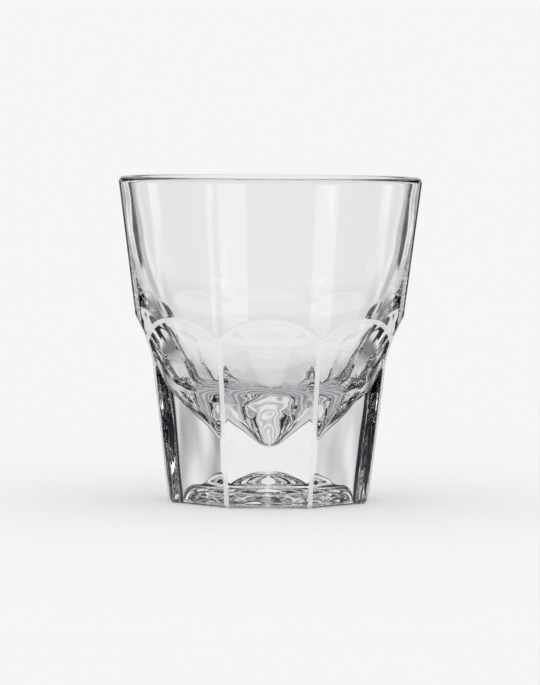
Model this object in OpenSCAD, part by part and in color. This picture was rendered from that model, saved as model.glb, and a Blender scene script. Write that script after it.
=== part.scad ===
// Faceted rocks glass, pressed in one piece: a round flaring wall above, eight flat panels below.
// Millimetres, +Z up, origin at the centre of the plane that the glass stands on.

/* [Wall] */
// Height from the table to the top of the rim
glass_h = 78; // [72:1:88]
// Outside diameter at the rim
rim_d = 73; // [68:0.5:80]
// Outward lean of the round upper wall, in degrees
wall_lean = 7.3; // [6:0.1:8.5]
// Thickness of the glass at the rim, which is fully rounded
rim_wall = 2.5; // [1.6:0.1:3.4]

/* [Panels] */
// Number of flat panels round the foot
panel_count = 8; // [7:1:10]
// Height of the crest of each panel's arch
arch_z = 44.4; // [40:0.2:50]
// Depth of the flat panels behind the round wall, taken at the height of the arch
panel_depth = 3.3; // [2.4:0.1:4]
// Outward lean of the flat panels, in degrees
panel_lean = 6.6; // [5.5:0.1:7.5]
// Radius of the hollow curve that carries a panel up to its arch
scoop_r = 24.5; // [16:0.5:40]
// Radius of the bottom edge
heel_r = 1.2; // [0.8:0.1:2]

/* [Bowl] */
// Outward lean of the inner wall below the rim, in degrees
inner_lean = 8.3; // [7.6:0.1:9.4]
// Height at which the inner wall begins its long bend in towards the bottom of the bowl
bend_z = 62; // [56:0.5:66]
// Lean of the bend at its lower end, where the knee takes over, in degrees
knee_lean = 29; // [26:0.5:33]
// Radius of the knee, which turns the bend into the cone
knee_r = 14; // [10:0.5:20]
// Lean of the cone at the bottom of the bowl, in degrees
cone_lean = 52; // [48:0.5:55]
// Radius of the rounded tip of the bowl
tip_r = 5; // [3:0.5:7]
// Thickness of the glass between the bowl and the hollow under the foot
floor_t = 5.6; // [4:0.1:8]

/* [Foot] */
// Height of the hollow under the foot, up to the crown of its bell
punt_h = 8.8; // [7:0.1:10]
// Height of the low drum that the bell stands on
drum_h = 4.8; // [3.6:0.1:5.6]
// Outer radius of the drum, as a share of the foot's half width across flats
drum_share = 0.65; // [0.55:0.005:0.7]
// Radius of the drum's rounded shoulder, as a share of the drum's height
shoulder_share = 0.85; // [0.6:0.01:0.95]
// Share of the bell's radius that its rounded crown takes up, before it flares out
crown_share = 0.73; // [0.5:0.01:0.85]

/* [Hidden] */
glass_tint = [0.9, 0.93, 0.93, 0.45];
$fn = 180;

// How far a straight step along a round stretch of an outline may stray from the curve
arc_sag = 0.02;
// How far the cutting shapes reach past the glass
past = 5;
// How far the hollow curve of a panel turns on past the crest, in degrees
past_crest = 6;

// Rim: a circle that the outer and the inner wall both run into
lip_r = rim_wall / 2;
lip_c = [rim_d / 2 - lip_r, glass_h - lip_r];
outer_touch = lip_c + lip_r * outward(wall_lean);
inner_touch = lip_c - lip_r * outward(inner_lean);
wall_foot = axis_r(outer_touch, wall_lean);

// Panel: a leaning flat, then a hollow arc that rises from it through the crest of the arch
flat_foot = wall_foot + tan(wall_lean) * arch_z - panel_depth - tan(panel_lean) * arch_z;
crest_off = panel_depth * cos(panel_lean);
crest_z = arch_z + crest_off * sin(panel_lean);
scoop_z = crest_z - cos(panel_lean) * sqrt(scoop_r ^ 2 - (scoop_r - crest_off) ^ 2);
scoop_turn = acos(1 - crest_off / scoop_r) + past_crest;

// Bowl: the inner wall, a bend that is as tight as it has to be to meet the knee, and a cone
inner_foot = axis_r(inner_touch, inner_lean);
bend = [inner_foot + tan(inner_lean) * bend_z, bend_z];
tip_c = [0, punt_h + floor_t + tip_r];
cone_out = outward(cone_lean);
knee_drop = knee_r * (1 - outward(knee_lean) * cone_out);
bend_drop = (outward(knee_lean) - outward(inner_lean)) * cone_out;
bend_r = (tip_r - knee_drop - (bend - tip_c) * cone_out) / bend_drop;
bend_c = bend - bend_r * outward(inner_lean);
knee_c = bend_c + (bend_r - knee_r) * outward(knee_lean);

// Hollow under the foot: a bell of two arcs on a drum with a rounded shoulder
drum_r = drum_share * flat_foot;
shoulder_r = shoulder_share * drum_h;
bell_r = drum_r - shoulder_r;
bell_turn = 2 * atan((punt_h - drum_h) / bell_r);
crown_r = crown_share * bell_r / sin(bell_turn);
flare_r = (1 - crown_share) * bell_r / sin(bell_turn);

// Unit step square to a line that leans outward from the vertical
function outward(lean) = [cos(lean), -sin(lean)];

// Radius at height 0 of a line through p that leans outward
function axis_r(p, lean) = p.x - tan(lean) * p.y;

// Points along an arc about c, between two directions given in degrees
function arc(c, r, from, to) =
    let (steps = ceil(abs(to - from) / (2 * acos(1 - arc_sag / r))))
    [for (i = [0 : steps]) let (a = from + (to - from) * i / steps) c + r * [cos(a), sin(a)]];

// All the points of a list after its first
function rest(list) = [for (i = [1 : len(list) - 1]) list[i]];

// What is cleared away outside one panel, drawn as radius against height
module panel_outline() {
    scoop_start = [flat_foot + tan(panel_lean) * scoop_z, scoop_z];
    scoop_c = scoop_start + scoop_r * outward(panel_lean);
    scoop = arc(scoop_c, scoop_r, 180 - panel_lean, 180 - panel_lean - scoop_turn);
    heel_c = [flat_foot + heel_r * (tan(panel_lean) - 1 / cos(panel_lean)), heel_r];
    heel = arc(heel_c, heel_r, -90, -panel_lean);
    reach = rim_d / 2 + past;
    top = scoop[len(scoop) - 1].y;
    polygon(concat([[heel_c.x, -past]], heel, scoop, [[reach, top], [reach, -past]]));
}

// The glass before its panels are pressed, from the hollow under the foot round the rim to the bowl
module turned_outline() {
    crown = arc([0, punt_h - crown_r], crown_r, 90, 90 - bell_turn);
    flare = arc([bell_r, drum_h + flare_r], flare_r, -90 - bell_turn, -90);
    shoulder = arc([bell_r, drum_h - shoulder_r], shoulder_r, 90, 0);
    foot = [[drum_r, 0], [wall_foot, 0]];
    lip = arc(lip_c, lip_r, -wall_lean, 180 - inner_lean);
    bowl_bend = arc(bend_c, bend_r, -inner_lean, -knee_lean);
    bowl_knee = arc(knee_c, knee_r, -knee_lean, -cone_lean);
    tip = arc(tip_c, tip_r, -cone_lean, -90);
    polygon(concat(crown, rest(flare), rest(shoulder), foot, lip, bowl_bend, rest(bowl_knee), tip));
}

// The glass: one panel faces -Y
module tumbler() {
    color(glass_tint)
    difference() {
        rotate_extrude() turned_outline();
        for (i = [0 : panel_count - 1])
            rotate([90, 0, i * 360 / panel_count - 90])
            linear_extrude(height = rim_d, center = true) panel_outline();
    }
}

tumbler();
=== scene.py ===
import math

import bmesh
import bpy
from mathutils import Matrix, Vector, noise


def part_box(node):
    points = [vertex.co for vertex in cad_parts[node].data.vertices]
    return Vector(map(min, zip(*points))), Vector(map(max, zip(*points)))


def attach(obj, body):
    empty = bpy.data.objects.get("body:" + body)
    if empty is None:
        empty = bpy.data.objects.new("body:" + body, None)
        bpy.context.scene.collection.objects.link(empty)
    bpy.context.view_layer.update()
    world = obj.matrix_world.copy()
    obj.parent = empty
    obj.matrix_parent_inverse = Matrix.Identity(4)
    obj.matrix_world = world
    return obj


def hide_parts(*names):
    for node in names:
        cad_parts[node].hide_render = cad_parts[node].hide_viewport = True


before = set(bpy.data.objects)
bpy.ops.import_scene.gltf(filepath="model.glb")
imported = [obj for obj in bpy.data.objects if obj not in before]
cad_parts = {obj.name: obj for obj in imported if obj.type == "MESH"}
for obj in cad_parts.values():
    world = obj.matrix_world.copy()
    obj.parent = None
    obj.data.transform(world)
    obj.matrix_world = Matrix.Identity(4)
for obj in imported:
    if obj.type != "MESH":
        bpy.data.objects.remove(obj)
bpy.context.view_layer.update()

MM = 0.001
glass_low, glass_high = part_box("tumbler")

# Sizes of the glass in millimetres; the height and the rim come from the frame
GLASS_H = (glass_high[2] - glass_low[2]) / MM
RIM_R = (glass_high[0] - glass_low[0]) / 2 / MM
WALL_LEAN = math.radians(7.3)
LIP_R = 1.25

PANELS = 8
ARCH_Z = 44.4
PANEL_DEPTH = 3.3
PANEL_LEAN = math.radians(6.6)
SCOOP_R = 24.5
HEEL_R = 1.2
# Ridges and arches are rounded where two surfaces are less than this apart
RIDGE_SOFT = 0.9
ARCH_SOFT = 0.45
# How far above the crest of the arches the wall is still shaped by the panels
PRESS_MARGIN = 2.2

INNER_LEAN = math.radians(8.3)
BEND_Z = 62.0
KNEE_LEAN = math.radians(29)
CONE_LEAN = math.radians(52)
KNEE_R = 14.0
TIP_R = 5.0
FLOOR_T = 5.6

PUNT_H = 8.8
DRUM_H = 4.8
DRUM_SHARE = 0.65
SHOULDER_SHARE = 0.85
CROWN_SHARE = 0.73
STEP_SOFT = 0.3

# Waves left in the glass by the press: length and height of each set
BOWL_WAVES = [(7.0, 0.2), (2.6, 0.06)]
HOLLOW_WAVES = [(5.0, 0.08)]
PANEL_WAVES = [(5.0, 0.1), (2.2, 0.015)]
# How many times longer the waves of the panels are up the glass than round it
PANEL_STRETCH = 3.0
# Height at which the waves end, and the height over which they die away below it
WAVE_TOP, WAVE_FADE = 40.0, 9.0
# How near to the middle of a rounded edge its line of painted highlight reaches: 0 is the whole round
RIDGE_LINE, ARCH_LINE = 0.45, 0.3

# Mesh density: steps round one panel, degrees from row to row of the heel, and rows on each other stretch
STEPS_PER_PANEL = 40
HEEL_STEP = 10
LOW_ROWS, SCOOP_ROWS, CREST_ROWS, WALL_ROWS, RIM_ROWS = 16, 18, 38, 5, 2
LIP_ROWS, BEND_ROWS, KNEE_ROWS, CONE_ROWS, TIP_ROWS = 18, 52, 12, 36, 12
CROWN_ROWS, FLARE_ROWS, SHOULDER_ROWS, EDGE_ROWS, RING_ROWS = 16, 10, 14, 5, 4
# How far below the scoop, the crest of the arches and the rim the rows change their step
SCOOP_LEAD, CREST_LEAD, RIM_LEAD = 2.0, 6.0, 0.6
# Rows on the straight inner wall, as shares of the way down from the lip
INNER_WALL_ROWS = (0.02, 0.04, 0.25, 0.5, 0.75)
# How strongly the ridges draw the steps round a panel together, and the heights between which that
# sets in on the inner wall
RIDGE_CROWDING = 0.7
INNER_CROWDING = (66.0, 74.0)
# Vertices nearer to each other than this become one
MERGE = 0.002
# Slack for finding the vertices where the heel begins
HEEL_SLACK = 0.2


def outward(lean):
    return Vector((math.cos(lean), -math.sin(lean)))


def foot_radius(point, lean):
    """Radius at the table of a line through point that leans outward."""
    return point.x - math.tan(lean) * point.y


# Rim, wall and panel, as radius against height
LIP_C = Vector((RIM_R - LIP_R, GLASS_H - LIP_R))
OUTER_TOUCH = LIP_C + LIP_R * outward(WALL_LEAN)
INNER_TOUCH = LIP_C - LIP_R * outward(INNER_LEAN)
WALL_FOOT = foot_radius(OUTER_TOUCH, WALL_LEAN)
FLAT_FOOT = WALL_FOOT + (math.tan(WALL_LEAN) - math.tan(PANEL_LEAN)) * ARCH_Z - PANEL_DEPTH
HEEL_START = FLAT_FOOT - HEEL_R
CREST_OFF = PANEL_DEPTH * math.cos(PANEL_LEAN)
SCOOP_Z = (
    ARCH_Z
    + CREST_OFF * math.sin(PANEL_LEAN)
    - math.cos(PANEL_LEAN) * math.sqrt(SCOOP_R**2 - (SCOOP_R - CREST_OFF) ** 2)
)
SCOOP_START = Vector((FLAT_FOOT + math.tan(PANEL_LEAN) * SCOOP_Z, SCOOP_Z))
SCOOP_C = SCOOP_START + SCOOP_R * outward(PANEL_LEAN)
BLEND_TOP = ARCH_Z + PRESS_MARGIN

# Bowl: straight wall, a long bend, a knee, and a cone with a rounded tip
TIP_C = Vector((0, PUNT_H + FLOOR_T + TIP_R))
BEND = Vector((foot_radius(INNER_TOUCH, INNER_LEAN) + math.tan(INNER_LEAN) * BEND_Z, BEND_Z))
CONE_OUT = outward(CONE_LEAN)
KNEE_SHARE = 1 - outward(KNEE_LEAN).dot(CONE_OUT)
BEND_R = (TIP_R - KNEE_R * KNEE_SHARE - (BEND - TIP_C).dot(CONE_OUT)) / (
    outward(KNEE_LEAN) - outward(INNER_LEAN)
).dot(CONE_OUT)
BEND_C = BEND - BEND_R * outward(INNER_LEAN)
KNEE_C = BEND_C + (BEND_R - KNEE_R) * outward(KNEE_LEAN)

# Hollow under the foot: a bell that stands on a low drum with a rounded shoulder
DRUM_R = DRUM_SHARE * FLAT_FOOT
SHOULDER_R = SHOULDER_SHARE * DRUM_H
BELL_R = DRUM_R - SHOULDER_R
BELL_TURN = 2 * math.atan((PUNT_H - DRUM_H) / BELL_R)
CROWN_R = CROWN_SHARE * BELL_R / math.sin(BELL_TURN)
FLARE_R = (1 - CROWN_SHARE) * BELL_R / math.sin(BELL_TURN)


def arc(centre, radius, start, end, steps):
    """Points along an arc, from one direction to another in degrees."""
    turns = [math.radians(start + (end - start) * i / steps) for i in range(steps + 1)]
    return [centre + radius * Vector((math.cos(a), math.sin(a))) for a in turns]


def rise(low, high, steps):
    """Points along the leaning wall, between two heights."""
    heights = [low + (high - low) * i / steps for i in range(steps + 1)]
    return [Vector((WALL_FOOT + math.tan(WALL_LEAN) * z, z)) for z in heights]


def nearness(a, b, reach):
    """1 where two values cross, falling to 0 where they are reach apart."""
    return max(reach - abs(a - b), 0) / reach


def soft_min(a, b, reach):
    """The smaller of two values, with the crossing rounded over reach."""
    return min(a, b) - nearness(a, b, reach) ** 2 * reach / 4


def share_between(value, start, end):
    """How far a value is on its way from start to end, from 0 to 1."""
    return min(max((value - start) / (end - start), 0), 1)


def from_axis(v):
    """Distance of a vertex from the axis, in metres."""
    return math.hypot(v.co.x, v.co.y)


def panel_radius(z):
    """Distance of a panel's middle from the axis: flat below, a hollow curve up to the arch."""
    if z < SCOOP_Z:
        return FLAT_FOOT + math.tan(PANEL_LEAN) * z
    return SCOOP_C.x - math.sqrt(SCOOP_R**2 - (z - SCOOP_C.y) ** 2)


def heel_inset(z):
    """How far the rounded bottom edge stands back at a height."""
    if z >= HEEL_R:
        return 0.0
    return HEEL_R - math.sqrt(HEEL_R**2 - (HEEL_R - z) ** 2)


def pressed_radius(z, azimuth):
    """Outer radius once the panels are pressed in, and a mark above 0 on the line of an edge."""
    wall = WALL_FOOT + math.tan(WALL_LEAN) * z
    if z > BLEND_TOP:
        return wall, -1.0
    share = 2 * math.pi / PANELS
    turn = abs((azimuth + share / 2) % share - share / 2)
    flat = panel_radius(z)
    near, far = flat / math.cos(turn), flat / math.cos(share - turn)
    ridge = soft_min(near, far, RIDGE_SOFT)
    mark = nearness(ridge, wall, ARCH_SOFT) - ARCH_LINE
    if ridge < wall:
        mark = max(mark, nearness(near, far, RIDGE_SOFT) - RIDGE_LINE)
    return soft_min(ridge, wall, ARCH_SOFT) - heel_inset(z), mark


def turn_outline(bm, points):
    """Spins a chain of points through one panel's share of the turn and returns its vertices."""
    before = set(bm.verts)
    chain = [bm.verts.new((0, -p.x * MM, p.y * MM)) for p in points]
    edges = [bm.edges.new(pair) for pair in zip(chain, chain[1:])]
    bmesh.ops.spin(
        bm,
        geom=chain + edges,
        cent=(0, 0, 0),
        axis=(0, 0, 1),
        angle=2 * math.pi / PANELS,
        steps=STEPS_PER_PANEL,
    )
    return [v for v in bm.verts if v not in before]


def move_round(v, azimuth, radius):
    """Moves a vertex to a direction and a distance from the axis; the front is direction 0."""
    v.co.x = radius * math.sin(azimuth)
    v.co.y = -radius * math.cos(azimuth)


def crowd_ridges(verts, heights=None):
    """Draws the steps round the glass together at the ridges, setting in between two heights if given."""
    for v in verts:
        share = share_between(v.co.z / MM, *heights) if heights else 1
        azimuth = math.atan2(v.co.x, -v.co.y)
        shift = share * RIDGE_CROWDING / PANELS * math.sin(PANELS * azimuth)
        move_round(v, azimuth + shift, from_axis(v))


def press_panels(verts, line):
    """Moves the outside of the wall in to the panels and marks their rounded edges."""
    for v in verts:
        azimuth = math.atan2(v.co.x, -v.co.y)
        radius, v[line] = pressed_radius(v.co.z / MM, azimuth)
        move_round(v, azimuth, radius * MM)


def ripple(verts, waves, stretch=1.0):
    """Pushes a surface in and out by small waves, less and less towards the height where they end."""
    pushes = []
    for v in verts:
        share = share_between(v.co.z / MM, WAVE_TOP, WAVE_TOP - WAVE_FADE)
        place = Vector((v.co.x, v.co.y, v.co.z / stretch)) / MM
        wave = sum(height * noise.noise(place / length) for length, height in waves)
        pushes.append(v.normal * share * wave * MM)
    for v, push in zip(verts, pushes):
        v.co += push


def is_on_panel(v):
    """Whether a vertex is on the outside of the glass, above the heel and below the end of the waves."""
    faces_out = v.normal.x * v.co.x + v.normal.y * v.co.y > 0
    return faces_out and HEEL_R * MM < v.co.z < WAVE_TOP * MM and from_axis(v) > DRUM_R * MM


def outside_outline():
    heel_turns = [math.radians(a) for a in range(0, 90, HEEL_STEP)]
    heel = [Vector((WALL_FOOT, HEEL_R * (1 - math.cos(a)))) for a in heel_turns]
    low = rise(HEEL_R, SCOOP_Z - SCOOP_LEAD, LOW_ROWS)
    scoop = rise(SCOOP_Z - SCOOP_LEAD, ARCH_Z - CREST_LEAD, SCOOP_ROWS)
    crest = rise(ARCH_Z - CREST_LEAD, BLEND_TOP, CREST_ROWS)
    wall = rise(BLEND_TOP, OUTER_TOUCH.y - RIM_LEAD, WALL_ROWS)
    rim = rise(OUTER_TOUCH.y - RIM_LEAD, OUTER_TOUCH.y, RIM_ROWS)
    return heel + low + scoop[1:] + crest[1:] + wall[1:] + rim[1:]


def inside_outline():
    outer, inner, knee_lean, cone_lean = map(math.degrees, (WALL_LEAN, INNER_LEAN, KNEE_LEAN, CONE_LEAN))
    lip = arc(LIP_C, LIP_R, -outer, 180 - inner, LIP_ROWS)
    bend = arc(BEND_C, BEND_R, -inner, -knee_lean, BEND_ROWS)
    knee = arc(KNEE_C, KNEE_R, -knee_lean, -cone_lean, KNEE_ROWS)
    tip = arc(TIP_C, TIP_R, -cone_lean, -90, TIP_ROWS)
    wall = [lip[-1].lerp(bend[0], share) for share in INNER_WALL_ROWS]
    cone = [knee[-1].lerp(tip[0], i / CONE_ROWS) for i in range(1, CONE_ROWS)]
    return lip + wall + bend + knee[1:] + cone + tip


def under_outline():
    turn = math.degrees(BELL_TURN)
    crown = arc(Vector((0, PUNT_H - CROWN_R)), CROWN_R, 90, 90 - turn, CROWN_ROWS)
    flare = arc(Vector((BELL_R, DRUM_H + FLARE_R)), FLARE_R, -90 - turn, -90, FLARE_ROWS)
    shoulder = arc(Vector((BELL_R, DRUM_H - SHOULDER_R)), SHOULDER_R, 90, 0, SHOULDER_ROWS)
    edge = arc(Vector((DRUM_R + STEP_SOFT, STEP_SOFT)), STEP_SOFT, 180, 270, EDGE_ROWS)
    width = HEEL_START - edge[-1].x
    ring = [Vector((edge[-1].x + width * i / RING_ROWS, 0)) for i in range(1, RING_ROWS + 1)]
    return crown + flare[1:] + shoulder[1:] + edge + ring


def make_tumbler():
    bm = bmesh.new()
    line = bm.verts.layers.float.new("edge_line")
    outside = turn_outline(bm, outside_outline())
    inside = turn_outline(bm, inside_outline())
    under = turn_outline(bm, under_outline())
    heel_ring = [v for v in under if from_axis(v) > (HEEL_START - HEEL_SLACK) * MM]
    crowd_ridges(outside + under)
    crowd_ridges(inside, INNER_CROWDING)
    press_panels(outside + heel_ring, line)
    bmesh.ops.spin(
        bm,
        geom=bm.verts[:] + bm.edges[:] + bm.faces[:],
        cent=(0, 0, 0),
        axis=(0, 0, 1),
        angle=2 * math.pi * (PANELS - 1) / PANELS,
        steps=PANELS - 1,
        use_duplicate=True,
    )
    bmesh.ops.remove_doubles(bm, verts=bm.verts, dist=MERGE * MM)
    bmesh.ops.recalc_face_normals(bm, faces=bm.faces)
    bm.normal_update()
    bowl = [v for v in bm.verts if v.normal.z > 0 and v.co.z < WAVE_TOP * MM]
    hollow = [v for v in bm.verts if v.normal.z < 0 and from_axis(v) < DRUM_R * MM]
    panels = [v for v in bm.verts if is_on_panel(v)]
    ripple(bowl, BOWL_WAVES)
    ripple(hollow, HOLLOW_WAVES)
    ripple(panels, PANEL_WAVES, PANEL_STRETCH)
    for face in bm.faces:
        face.smooth = True
        # Faces that touch a marked edge line get the second material, the painted highlight
        face.material_index = int(max(v[line] for v in face.verts) > 0)
    mesh = bpy.data.meshes.new("tumbler_glass")
    bm.to_mesh(mesh)
    bm.free()
    piece = bpy.data.objects.new("tumbler_glass", mesh)
    bpy.context.scene.collection.objects.link(piece)
    return piece


class Wiring:
    """The nodes of one material, group or world, with short ways to add and join them."""

    def __init__(self, tree):
        self.nodes, self.links = tree.nodes, tree.links

    def feed(self, socket, value):
        """Joins another node's output to a socket, or sets the socket to a plain value."""
        if isinstance(value, bpy.types.NodeSocket):
            self.links.new(value, socket)
        else:
            socket.default_value = value

    def add(self, kind, inputs=None, **settings):
        node = self.nodes.new(kind)
        for name, value in settings.items():
            setattr(node, name, value)
        for name, value in (inputs or {}).items():
            self.feed(node.inputs[name], value)
        return node

    def calc(self, operation, *values):
        node = self.add("ShaderNodeMath", operation=operation)
        for socket, value in zip(node.inputs, values):
            self.feed(socket, value)
        return node.outputs[0]

    def chain(self, operation, first, *others):
        """One sum, product or maximum of several values."""
        for other in others:
            first = self.calc(operation, first, other)
        return first

    def blend(self, share, off, on):
        """off where share is 0, on where it is 1."""
        rest = self.calc("SUBTRACT", 1.0, share)
        return self.calc("ADD", self.calc("MULTIPLY", on, share), self.calc("MULTIPLY", off, rest))

    def ramp(self, value, start, end, low=0.0, high=1.0, kind="SMOOTHSTEP"):
        """Runs from low to high as value goes from start to end."""
        spans = {"Value": value, "From Min": start, "From Max": end, "To Min": low, "To Max": high}
        return self.add("ShaderNodeMapRange", spans, interpolation_type=kind).outputs["Result"]

    def climb(self, value, edge, level=1.0):
        """0 before an edge and level past it; an edge is a place and how far it blurs to each side."""
        place, blur = edge
        return self.ramp(value, place - blur, place + blur, 0.0, level)

    def fall(self, value, edge, level=1.0):
        """level before an edge and 0 past it."""
        place, blur = edge
        return self.ramp(value, place - blur, place + blur, level, 0.0)

    def band(self, value, middle, edge):
        """1 within an edge's distance of the middle, 0 outside."""
        return self.fall(self.calc("ABSOLUTE", self.calc("SUBTRACT", value, middle)), edge)

    def mix_colours(self, share, off, on, kind="MIX"):
        inputs = {"Fac": share, "Color1": off, "Color2": on}
        return self.add("ShaderNodeMixRGB", inputs, blend_type=kind).outputs["Color"]

    def mix_shaders(self, share, off, on):
        node = self.add("ShaderNodeMixShader", {"Fac": share})
        self.feed(node.inputs[1], off)
        self.feed(node.inputs[2], on)
        return node.outputs["Shader"]


GLASS_IOR = 1.5
EDGE_TINT = (0.998, 0.997, 0.996, 1)
# Scale, detail and two tones of the tint in the glass and of the grain on the painted highlight lines
# along the rounded edges
GLASS_POOLS = {
    "Scale": 60.0,
    "Detail": 2.0,
    "First": (0.995, 0.992, 0.987, 1),
    "Second": (1.0, 0.998, 0.994, 1),
}
HIGHLIGHT_GRAIN = {
    "Scale": 900.0,
    "Detail": 3.0,
    "First": (0.93, 0.93, 0.92, 1),
    "Second": (0.97, 0.97, 0.96, 1),
}
# Clearness and roughness of the painted highlight lines
HIGHLIGHT_CLEARNESS = 0.3
HIGHLIGHT_ROUGHNESS = (0.3, 0.45)
# The border of a painted highlight line: where its mark is 0, and how far it blurs to each side
HIGHLIGHT_BORDER = (0.0, 0.08)


def new_material(name):
    """A material with its wiring and its shader."""
    material = bpy.data.materials.new(name)
    material.use_nodes = True
    wires = Wiring(material.node_tree)
    return material, wires, wires.nodes["Principled BSDF"]


def show(wires, shader):
    """Makes a shader the surface of its material."""
    wires.feed(wires.nodes["Material Output"].inputs["Surface"], shader)


def mottle_group():
    """Soft patches over a surface: a colour between two tones, and how far it is towards the second."""
    group = bpy.data.node_groups.new("mottle", "ShaderNodeTree")
    for name, kind in (("Scale", "Float"), ("Detail", "Float"), ("First", "Color"), ("Second", "Color")):
        group.interface.new_socket(name, in_out="INPUT", socket_type="NodeSocket" + kind)
    for name, kind in (("Tone", "Color"), ("Share", "Float")):
        group.interface.new_socket(name, in_out="OUTPUT", socket_type="NodeSocket" + kind)
    wires = Wiring(group)
    given = wires.add("NodeGroupInput").outputs
    place = wires.add("ShaderNodeTexCoord").outputs["Object"]
    spread = {"Vector": place, "Scale": given["Scale"], "Detail": given["Detail"]}
    share = wires.add("ShaderNodeTexNoise", spread).outputs["Fac"]
    tone = wires.mix_colours(share, given["First"], given["Second"])
    wires.add("NodeGroupOutput", {"Tone": tone, "Share": share})
    return group


def make_glassy(shader, clearness):
    """Sets a shader to glass that lets a share of the light through."""
    shader.inputs["Transmission Weight"].default_value = clearness
    shader.inputs["IOR"].default_value = GLASS_IOR
    shader.inputs["Metallic"].default_value = 0.0
    shader.inputs["Roughness"].default_value = 0.0


def clear_glass(mottle):
    """Clear pressed glass with faint pools of tint."""
    material, wires, shader = new_material("clear_glass")
    make_glassy(shader, 1.0)
    pools = wires.add("ShaderNodeGroup", GLASS_POOLS, node_tree=mottle)
    wires.feed(shader.inputs["Base Color"], pools.outputs["Tone"])
    return material


def painted_highlight_edge(mottle):
    """Rounded edges of the panels: a pale, rough line of painted highlight seen from outside, clear beside
    the line and from within.
    """
    material, wires, highlight = new_material("painted_highlight_edge")
    clear = wires.add("ShaderNodeBsdfPrincipled", {"Base Color": EDGE_TINT})
    make_glassy(highlight, HIGHLIGHT_CLEARNESS)
    make_glassy(clear, 1.0)
    grain = wires.add("ShaderNodeGroup", HIGHLIGHT_GRAIN, node_tree=mottle)
    wires.feed(highlight.inputs["Base Color"], grain.outputs["Tone"])
    dullness = wires.ramp(grain.outputs["Share"], 0.0, 1.0, *HIGHLIGHT_ROUGHNESS, "LINEAR")
    wires.feed(highlight.inputs["Roughness"], dullness)
    mark = wires.add("ShaderNodeAttribute", attribute_name="edge_line").outputs["Fac"]
    inside = wires.add("ShaderNodeNewGeometry").outputs["Backfacing"]
    see_through = wires.calc("MAXIMUM", wires.fall(mark, HIGHLIGHT_BORDER), inside)
    show(wires, wires.mix_shaders(see_through, highlight.outputs["BSDF"], clear.outputs["BSDF"]))
    return material


# Level of the background, and of the floor that fades out into it
BACKGROUND = 0.92
# Floor in metres: a disc just below the glass that fades out between two distances from the middle,
# for the camera and, sooner, for rays that come through or off the glass
FLOOR_R, FLOOR_SIDES, FLOOR_DROP = 0.4, 96, 0.0001
FLOOR_FADE, FLOOR_GLASS_FADE = (0.03, 0.4), (0.08, 0.13)
# Colour of the floor as the glass shows it, at a distance from the middle: a painted shade, darkest in a
# ring under the foot
FLOOR_SHADE = [
    (0.009, (0.68, 0.667, 0.69)),
    (0.020, (0.40, 0.39, 0.415)),
    (0.031, (0.70, 0.685, 0.705)),
    (0.050, (0.80, 0.79, 0.80)),
    (0.090, (0.845, 0.845, 0.84)),
]
# How much darker the floor is in reflections, between two distances from the middle: a painted shade
MIRROR_FADE, MIRROR_LOSS = (0.035, 0.06), 0.75
# Painted rings of light on the floor under the glass, standing for those the glass throws there: their
# step, reach, strength and unevenness
LIGHT_RING_STEP, LIGHT_RING_END, LIGHT_RING_SHARE = 0.0034, 0.03, 0.5
LIGHT_RING_WOBBLE, LIGHT_RING_WOBBLE_SCALE = 1.0, 0.6
# Radians that a wave texture of scale 1 turns through in a metre
WAVE_RATE = 20
# A ray that has bounced has a depth above this, and one that hasn't is below it
HALF_BOUNCE = 0.5


def shaded_floor(wires, place, distance):
    """Colour of the floor as the glass shows it: a painted shade with rings of light."""
    shade = wires.add("ShaderNodeValToRGB", {"Fac": wires.calc("DIVIDE", distance, FLOOR_R)})
    shade.color_ramp.interpolation = "EASE"
    stops = shade.color_ramp.elements
    for i, (reach, colour) in enumerate(FLOOR_SHADE):
        stop = stops[i] if i < len(stops) else stops.new(1.0)
        stop.position = reach / FLOOR_R
        stop.color = (*colour, 1)
    spread = {
        "Vector": place,
        "Scale": 2 * math.pi / (WAVE_RATE * LIGHT_RING_STEP),
        "Distortion": LIGHT_RING_WOBBLE,
        "Detail Scale": LIGHT_RING_WOBBLE_SCALE,
    }
    rings = wires.add("ShaderNodeTexWave", spread, wave_type="RINGS", rings_direction="SPHERICAL")
    caught = wires.ramp(distance, LIGHT_RING_END, LIGHT_RING_END / 2, 0.0, LIGHT_RING_SHARE, "LINEAR")
    return wires.mix_colours(caught, shade.outputs["Color"], rings.outputs["Color"], "OVERLAY")


def pale_floor():
    """Plain pale floor for the camera and the shadow; the glass shows it in its own painted shade."""
    material, wires, plain = new_material("pale_floor")
    plain.inputs["Base Color"].default_value = (BACKGROUND, BACKGROUND, BACKGROUND, 1)
    plain.inputs["Roughness"].default_value = 1.0
    plain.inputs["Specular IOR Level"].default_value = 0.0
    place = wires.add("ShaderNodeTexCoord").outputs["Object"]
    distance = wires.add("ShaderNodeVectorMath", {"Vector": place}, operation="LENGTH").outputs["Value"]
    path = wires.add("ShaderNodeLightPath").outputs
    glassy = wires.calc("MAXIMUM", path["Is Glossy Ray"], path["Is Transmission Ray"])

    loss = wires.ramp(distance, *MIRROR_FADE, 0.0, MIRROR_LOSS, "LINEAR")
    bounced = wires.calc("GREATER_THAN", path["Glossy Depth"], HALF_BOUNCE)
    strength = wires.calc("SUBTRACT", 1.0, wires.calc("MULTIPLY", loss, bounced))
    colour = shaded_floor(wires, place, distance)
    glow = wires.add("ShaderNodeEmission", {"Color": colour, "Strength": strength})
    seen = wires.mix_shaders(glassy, plain.outputs["BSDF"], glow.outputs["Emission"])

    fade = wires.blend(glassy, wires.ramp(distance, *FLOOR_FADE), wires.ramp(distance, *FLOOR_GLASS_FADE))
    clear = wires.add("ShaderNodeBsdfTransparent").outputs["BSDF"]
    show(wires, wires.mix_shaders(fade, seen, clear))
    return material


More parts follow.
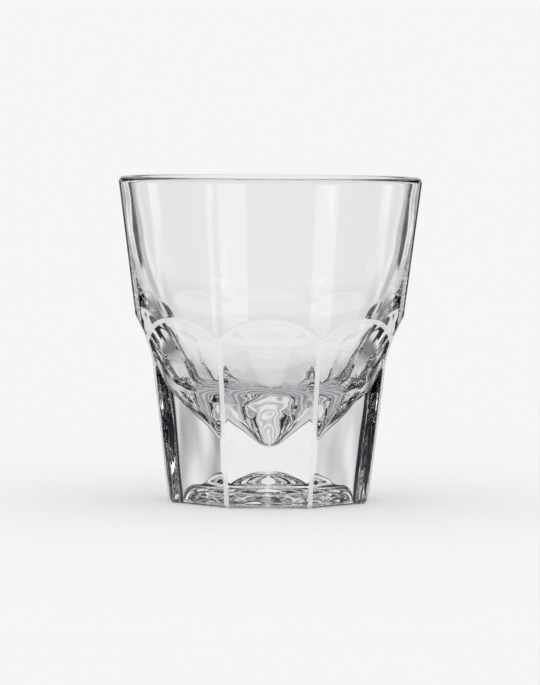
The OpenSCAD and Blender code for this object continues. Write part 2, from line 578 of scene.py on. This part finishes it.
def make_floor():
    bm = bmesh.new()
    bmesh.ops.create_circle(bm, cap_ends=True, radius=FLOOR_R, segments=FLOOR_SIDES)
    mesh = bpy.data.meshes.new("floor")
    bm.to_mesh(mesh)
    bm.free()
    floor = bpy.data.objects.new("floor", mesh)
    floor.location.z = -FLOOR_DROP
    bpy.context.scene.collection.objects.link(floor)
    floor.data.materials.append(pale_floor())


# Studio as the glass shows it. Directions are degrees round from straight behind the glass, to the right
# as the camera sees it, and degrees up from level. An edge is its place and how far it blurs to each side.
# Its darkest colour
DARK = (0.010, 0.012, 0.020)
# Backdrop: a little dimmer away from its middle height, and more so at its two upper corners
BACKDROP_LEVEL, BACKDROP_RIM_LEVEL = 0.95, 0.88
BACKDROP_MIDDLE, BACKDROP_RIM = -6.0, (7.0, 2.0)
LEFT_DIM, LEFT_DIM_EDGE = 0.32, (-25.0, 2.0)
RIGHT_DIM, RIGHT_DIM_EDGE = 0.5, (25.0, 2.0)
DIM_LOW = (-1.5, 2.5)
# Table below the backdrop
TABLE_LEVEL, TABLE_TOP = 0.84, (-16.0, 2.0)
# Window: a soft light above and behind the glass
WINDOW_LEVEL, WINDOW_SIDES = 0.9, (12.0, 12.0)

# Straight through the glass: the backdrop's sides, where the dark flags begin, its top, the far end of
# the flags, and a glint of the window high up
BACKDROP_SIDES, BACKDROP_TOP = (28.0, 1.0), (29.0, 5.0)
FLAG_END = (60.0, 4.0)
GLINT_SHARE, GLINT_LOW = 0.6, (47.0, 3.0)

# In reflections: a wider and lower backdrop with a dark slit to each side of its middle, a narrower table,
# a glow at the sides that dies away, a window that begins lower, and a light overhead
MIRRORED_SIDES = (33.0, 1.0)
SLIT_PLACE, SLIT_WIDTH = 11.5, (8.0, 1.0)
SLIT_MIDDLE, SLIT_HEIGHT = -7.0, (7.0, 1.0)
TABLE_SIDES = (42.0, 2.0)
GLOW_LEVEL, GLOW_START, GLOW_END, GLOW_TOP = 0.75, (51.0, 2.0), (72.5, 17.5), (35.0, 8.0)
WINDOW_LOW = (4.0, 4.0)
OVERHEAD_LEVEL, OVERHEAD_LOW = 0.8, (58.0, 3.0)
# Strip lights: middle and half width of each, its lowest and highest direction, and its level
STRIPS = [
    (-150.0, 11.4, -17.4, -8.0, 1.7),
    (-131.0, 2.2, -17.4, -8.0, 1.7),
    (135.0, 9.4, -17.4, -8.0, 1.7),
    (-76.0, 3.0, -13.0, -7.0, 1.0),
    (76.0, 3.0, -13.0, -7.0, 1.0),
]
STRIP_SIDE_BLUR, STRIP_END_BLUR = 0.6, 0.3


def pale_backdrop(wires, azimuth, height):
    """Level of the backdrop behind the glass, without its edges."""
    from_middle = wires.calc("ABSOLUTE", wires.calc("SUBTRACT", height, BACKDROP_MIDDLE))
    more = wires.fall(from_middle, BACKDROP_RIM, BACKDROP_LEVEL - BACKDROP_RIM_LEVEL)
    left = wires.fall(azimuth, LEFT_DIM_EDGE, LEFT_DIM)
    right = wires.climb(azimuth, RIGHT_DIM_EDGE, RIGHT_DIM)
    dim = wires.calc("MULTIPLY", wires.calc("ADD", left, right), wires.climb(height, DIM_LOW))
    return wires.calc("SUBTRACT", wires.calc("ADD", more, BACKDROP_RIM_LEVEL), dim)


def look_through(wires, sideways, height, pale, table, window):
    """Studio straight through the glass: pale all round, but for two dark flags beside the backdrop."""
    backdrop = wires.calc("MULTIPLY", pale, wires.fall(sideways, BACKDROP_SIDES))
    past_flags = wires.climb(sideways, FLAG_END, BACKDROP_LEVEL)
    around = wires.calc("MAXIMUM", backdrop, past_flags)
    around = wires.calc("MULTIPLY", around, wires.fall(height, BACKDROP_TOP))
    glint = wires.calc("MULTIPLY", window, wires.climb(height, GLINT_LOW, GLINT_SHARE))
    return wires.chain("MAXIMUM", around, table, glint)


def look_mirrored(wires, azimuth, sideways, height, pale, table, window):
    """Studio in reflections, in the glass or off it: darker, with strip lights in front."""
    above = wires.climb(height, WINDOW_LOW)
    slit = wires.calc(
        "MULTIPLY",
        wires.band(sideways, SLIT_PLACE, SLIT_WIDTH),
        wires.band(height, SLIT_MIDDLE, SLIT_HEIGHT),
    )
    shut = [wires.calc("SUBTRACT", 1.0, cover) for cover in (above, slit)]
    behind = wires.chain("MULTIPLY", pale, wires.fall(sideways, MIRRORED_SIDES), *shut)
    glow = wires.chain(
        "MULTIPLY",
        wires.climb(sideways, GLOW_START, GLOW_LEVEL),
        wires.fall(sideways, GLOW_END),
        wires.fall(height, GLOW_TOP),
    )
    near_table = wires.calc("MULTIPLY", table, wires.fall(sideways, TABLE_SIDES))
    high_window = wires.calc("MULTIPLY", window, above)
    overhead = wires.climb(height, OVERHEAD_LOW, OVERHEAD_LEVEL)
    look = wires.chain("MAXIMUM", wires.calc("ADD", behind, glow), near_table, high_window, overhead)
    for middle, half_width, lowest, highest, level in STRIPS:
        across = wires.band(azimuth, middle, (half_width, STRIP_SIDE_BLUR))
        upright = wires.band(height, (lowest + highest) / 2, ((highest - lowest) / 2, STRIP_END_BLUR))
        look = wires.calc("ADD", look, wires.chain("MULTIPLY", across, upright, level))
    return look


def light_studio():
    """Even pale light and background, with the studio in their place where the glass shows them."""
    world = bpy.data.worlds.new("studio")
    bpy.context.scene.world = world
    world.use_nodes = True
    world.node_tree.nodes.clear()
    wires = Wiring(world.node_tree)
    direction = wires.add("ShaderNodeTexCoord").outputs["Generated"]
    x, y, z = wires.add("ShaderNodeSeparateXYZ", {"Vector": direction}).outputs
    azimuth = wires.calc("DEGREES", wires.calc("ARCTAN2", x, y))
    height = wires.calc("DEGREES", wires.calc("ARCSINE", z))
    sideways = wires.calc("ABSOLUTE", azimuth)

    pale = pale_backdrop(wires, azimuth, height)
    table = wires.fall(height, TABLE_TOP, TABLE_LEVEL)
    window = wires.fall(sideways, WINDOW_SIDES, WINDOW_LEVEL)
    through = look_through(wires, sideways, height, pale, table, window)
    mirrored = look_mirrored(wires, azimuth, sideways, height, pale, table, window)

    path = wires.add("ShaderNodeLightPath").outputs
    straight = wires.calc("LESS_THAN", path["Glossy Depth"], HALF_BOUNCE)
    level = wires.blend(straight, mirrored, through)
    tones = [wires.calc("MAXIMUM", level, dark) for dark in DARK]
    look = wires.add("ShaderNodeCombineColor", dict(zip(("Red", "Green", "Blue"), tones)))
    glassy = wires.calc("MAXIMUM", path["Is Glossy Ray"], path["Is Transmission Ray"])
    undiffused = wires.calc("LESS_THAN", path["Diffuse Depth"], HALF_BOUNCE)
    plain = wires.blend(path["Is Camera Ray"], 1.0, BACKGROUND)
    colour = wires.mix_colours(wires.calc("MULTIPLY", glassy, undiffused), plain, look.outputs["Color"])
    background = wires.add("ShaderNodeBackground", {"Color": colour}).outputs["Background"]
    wires.add("ShaderNodeOutputWorld", {"Surface": background})


# Camera: the photograph's view, in millimetres, with the height of the photograph in pixels
FRAME_H = 685
MM_PER_PIXEL = 0.2414
CAMERA_AWAY = 1000.0
CAMERA_UP = 93.0
AIM_X, AIM_Z = 0.14, 37.95
ROLL = math.radians(0.37)
SENSOR_H = 36.0


def place_camera():
    data = bpy.data.cameras.new("camera")
    camera = bpy.data.objects.new("camera", data)
    bpy.context.scene.collection.objects.link(camera)
    bpy.context.scene.camera = camera
    aim = Vector((AIM_X, 0, AIM_Z)) * MM
    camera.location = Vector((AIM_X, -CAMERA_AWAY, CAMERA_UP)) * MM
    look = (aim - camera.location).to_track_quat("-Z", "Y")
    camera.rotation_euler = look.to_euler()
    camera.rotation_euler.rotate_axis("Z", ROLL)
    data.sensor_fit = "VERTICAL"
    data.sensor_height = SENSOR_H
    distance = (aim - camera.location).length / MM
    data.lens = SENSOR_H * distance / (MM_PER_PIXEL * FRAME_H)


tumbler = make_tumbler()
mottle = mottle_group()
tumbler.data.materials.append(clear_glass(mottle))
# Second material: painted highlight lines along the rounded edges
tumbler.data.materials.append(painted_highlight_edge(mottle))
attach(tumbler, "root")
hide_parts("tumbler")
make_floor()
light_studio()
place_camera()

# Bounces enough for light to cross the glass many times
GLASS_BOUNCES, GLOSSY_BOUNCES = 24, 16
scene = bpy.context.scene
scene.view_settings.view_transform = "Standard"
scene.cycles.max_bounces = GLASS_BOUNCES
scene.cycles.transmission_bounces = GLASS_BOUNCES
scene.cycles.glossy_bounces = GLOSSY_BOUNCES
